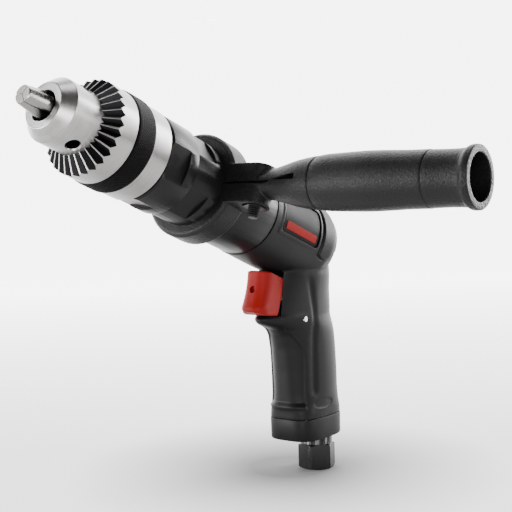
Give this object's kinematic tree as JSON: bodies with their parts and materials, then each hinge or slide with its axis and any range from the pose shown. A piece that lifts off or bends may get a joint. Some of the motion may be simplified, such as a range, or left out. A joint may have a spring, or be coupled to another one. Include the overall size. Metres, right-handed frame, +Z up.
{
  "type": "air drill",
  "caption": "Pistol-grip air drill with a keyed chuck, a trigger and a clamp-on side handle, standing on its air inlet.",
  "frame": {"origin": "centre of the mouth of the threaded air inlet at the foot of the grip, on which the drill stands", "axes": "+Z up along the grip, +X forward under the chuck, +Y to the left towards the side handle; the spindle lies in the XZ plane and rises forward by 20 degrees"},
  "size_m": [0.2209, 0.1777, 0.2108],
  "materials": {
    "bright_steel": "satin turned steel",
    "black_steel": "black oxide, satin",
    "gear_steel": "machined steel",
    "aluminium": "machined",
    "black_plastic": "fine grain, satin black",
    "red_plastic": "smooth red",
    "red_badge": "plain red inlay",
    "brass": "machined",
    "rubber": "matt",
    "felt": "felt",
    "vane": "phenolic"
  },
  "bodies": {
    "housing": {"motor_housing": "black_plastic", "gear_case": "black_steel", "nose_housing": "black_steel", "front_bearing": "gear_steel", "front_seal": "felt", "ring_gear": "gear_steel", "gear_spacer": "gear_steel", "front_end_plate": "aluminium", "rotor_front_bearing": "gear_steel", "motor_cylinder": "gear_steel", "rear_end_plate": "aluminium", "rotor_rear_bearing": "gear_steel", "motor_gasket": "rubber", "badge_plate": "red_badge", "valve_bush": "brass", "valve_spring": "bright_steel", "grip_pin": "bright_steel", "inlet_bushing": "black_steel", "inlet_seal": "rubber", "inlet_screen": "brass", "exhaust_cap": "black_plastic", "exhaust_felt": "felt"},
    "spindle": {"spindle": "gear_steel", "front_bearing_inner": "gear_steel", "out_planet_pins": "gear_steel", "chuck_body": "bright_steel", "chuck_screw": "gear_steel"},
    "sleeve": {"chuck_sleeve": "bright_steel", "chuck_nut": "gear_steel"},
    "jaw_1": {"jaw_1": "bright_steel"},
    "jaw_2": {"jaw_2": "bright_steel"},
    "jaw_3": {"jaw_3": "bright_steel"},
    "mid_carrier": {"mid_carrier": "gear_steel", "in_planet_pins": "gear_steel"},
    "out_planet_1": {"out_planet_1": "gear_steel"},
    "out_planet_2": {"out_planet_2": "gear_steel"},
    "out_planet_3": {"out_planet_3": "gear_steel"},
    "in_planet_1": {"in_planet_1": "gear_steel"},
    "in_planet_2": {"in_planet_2": "gear_steel"},
    "in_planet_3": {"in_planet_3": "gear_steel"},
    "rotor": {"rotor": "gear_steel", "rotor_vanes": "vane", "rotor_front_inner": "gear_steel", "rotor_rear_inner": "gear_steel"},
    "trigger": {"trigger": "red_plastic", "trigger_rod": "bright_steel", "valve_poppet": "brass"},
    "side_handle": {"side_handle": "black_plastic", "side_grip": "black_plastic", "clamp_bolt": "black_steel", "clamp_nut": "black_steel"}
  },
  "joints": [
    {"name": "chuck_spin", "type": "hinge", "parent": "housing", "child": "spindle", "pos_m": [0.09908, 0, 0.16173], "axis": [0.9397, 0, 0.342], "continuous": true},
    {"name": "sleeve_turn", "type": "hinge", "parent": "spindle", "child": "sleeve", "pos_m": [0.16016, 0, 0.18396], "axis": [0.9397, 0, 0.342], "range_deg": [0, 3600]},
    {"name": "jaw_1_slide", "type": "slide", "parent": "spindle", "child": "jaw_1", "axis": [-0.9118, 0.2419, -0.3319], "range_m": [0, 0.02688]},
    {"name": "jaw_2_slide", "type": "slide", "parent": "spindle", "child": "jaw_2", "axis": [-0.9834, -0.121, -0.135], "range_m": [0, 0.02688]},
    {"name": "jaw_3_slide", "type": "slide", "parent": "spindle", "child": "jaw_3", "axis": [-0.8401, -0.121, -0.5287], "range_m": [0, 0.02688]},
    {"name": "mid_carrier_spin", "type": "hinge", "parent": "housing", "child": "mid_carrier", "pos_m": [0.09908, 0, 0.16173], "axis": [0.9397, 0, 0.342], "continuous": true},
    {"name": "rotor_spin", "type": "hinge", "parent": "housing", "child": "rotor", "pos_m": [0.03518, 0, 0.13847], "axis": [0.9397, 0, 0.342], "continuous": true},
    {"name": "out_planet_1_spin", "type": "hinge", "parent": "spindle", "child": "out_planet_1", "pos_m": [0.11217, 0, 0.155], "axis": [0.9397, 0, 0.342], "continuous": true},
    {"name": "out_planet_2_spin", "type": "hinge", "parent": "spindle", "child": "out_planet_2", "pos_m": [0.10663, 0.00935, 0.17022], "axis": [0.9397, 0, 0.342], "continuous": true},
    {"name": "out_planet_3_spin", "type": "hinge", "parent": "spindle", "child": "out_planet_3", "pos_m": [0.10663, -0.00935, 0.17022], "axis": [0.9397, 0, 0.342], "continuous": true},
    {"name": "in_planet_1_spin", "type": "hinge", "parent": "mid_carrier", "child": "in_planet_1", "pos_m": [0.08868, 0, 0.14645], "axis": [0.9397, 0, 0.342], "continuous": true},
    {"name": "in_planet_2_spin", "type": "hinge", "parent": "mid_carrier", "child": "in_planet_2", "pos_m": [0.08314, 0.00935, 0.16167], "axis": [0.9397, 0, 0.342], "continuous": true},
    {"name": "in_planet_3_spin", "type": "hinge", "parent": "mid_carrier", "child": "in_planet_3", "pos_m": [0.08314, -0.00935, 0.16167], "axis": [0.9397, 0, 0.342], "continuous": true},
    {"name": "trigger_pull", "type": "slide", "parent": "housing", "child": "trigger", "axis": [-1, 0, 0], "range_m": [0, 0.007], "stiffness_N_per_m": 900, "springref_m": -0.006, "deforming": ["valve_spring"]},
    {"name": "side_handle_swivel", "type": "hinge", "parent": "housing", "child": "side_handle", "pos_m": [0.09908, 0, 0.16173], "axis": [0.9397, 0, 0.342], "continuous": true}
  ],
  "couplings": [
    {"joint": "jaw_1_slide", "follows": "sleeve_turn", "m_per_rad": 0.00042762},
    {"joint": "jaw_2_slide", "follows": "sleeve_turn", "m_per_rad": 0.00042762},
    {"joint": "jaw_3_slide", "follows": "sleeve_turn", "m_per_rad": 0.00042762},
    {"joint": "mid_carrier_spin", "follows": "chuck_spin", "ratio": 4.5},
    {"joint": "rotor_spin", "follows": "chuck_spin", "ratio": 20.25},
    {"joint": "out_planet_1_spin", "follows": "chuck_spin", "ratio": -2.8},
    {"joint": "out_planet_2_spin", "follows": "chuck_spin", "ratio": -2.8},
    {"joint": "out_planet_3_spin", "follows": "chuck_spin", "ratio": -2.8},
    {"joint": "in_planet_1_spin", "follows": "chuck_spin", "ratio": -12.6},
    {"joint": "in_planet_2_spin", "follows": "chuck_spin", "ratio": -12.6},
    {"joint": "in_planet_3_spin", "follows": "chuck_spin", "ratio": -12.6}
  ]
}
